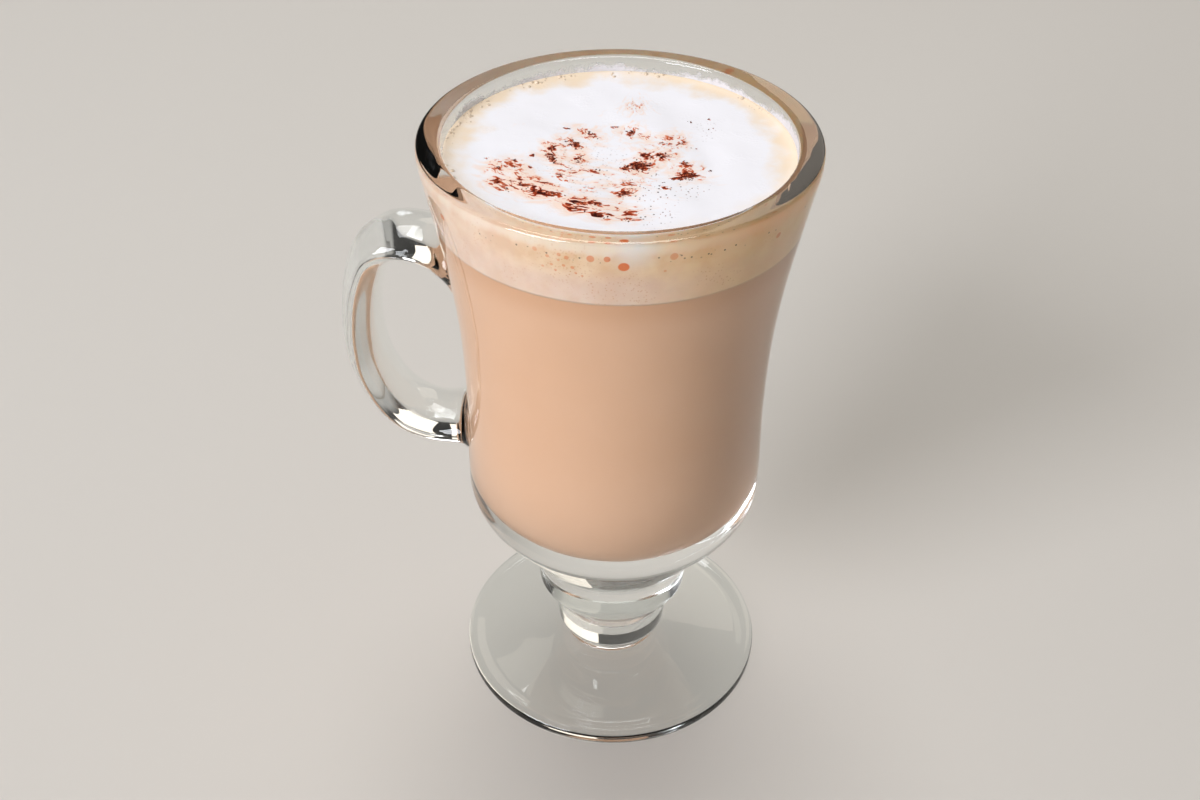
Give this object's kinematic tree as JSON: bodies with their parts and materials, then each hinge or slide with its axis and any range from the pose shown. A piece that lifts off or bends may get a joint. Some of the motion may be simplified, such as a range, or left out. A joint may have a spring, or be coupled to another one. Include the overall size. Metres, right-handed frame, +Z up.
{
  "type": "cappuccino in a footed glass mug",
  "caption": "Milk coffee under a thick layer of milk foam with cocoa strewn on it, in a footed glass mug with a flared rim and a strap handle.",
  "frame": {"origin": "centre of the foot's flat underside, on the surface that the glass stands on", "axes": "+Z up along the glass's axis, -X towards the handle, -Y towards the side that the picture shows"},
  "size_m": [0.0988, 0.079, 0.14],
  "materials": {
    "clear_glass": "clear pressed glass, polished",
    "milk_coffee": "smooth liquid",
    "milk_foam": "fine soft foam with cocoa on it"
  },
  "bodies": {
    "root": {"glass_mug": "clear_glass", "coffee": "milk_coffee", "milk_foam": "milk_foam"}
  },
  "joints": []
}
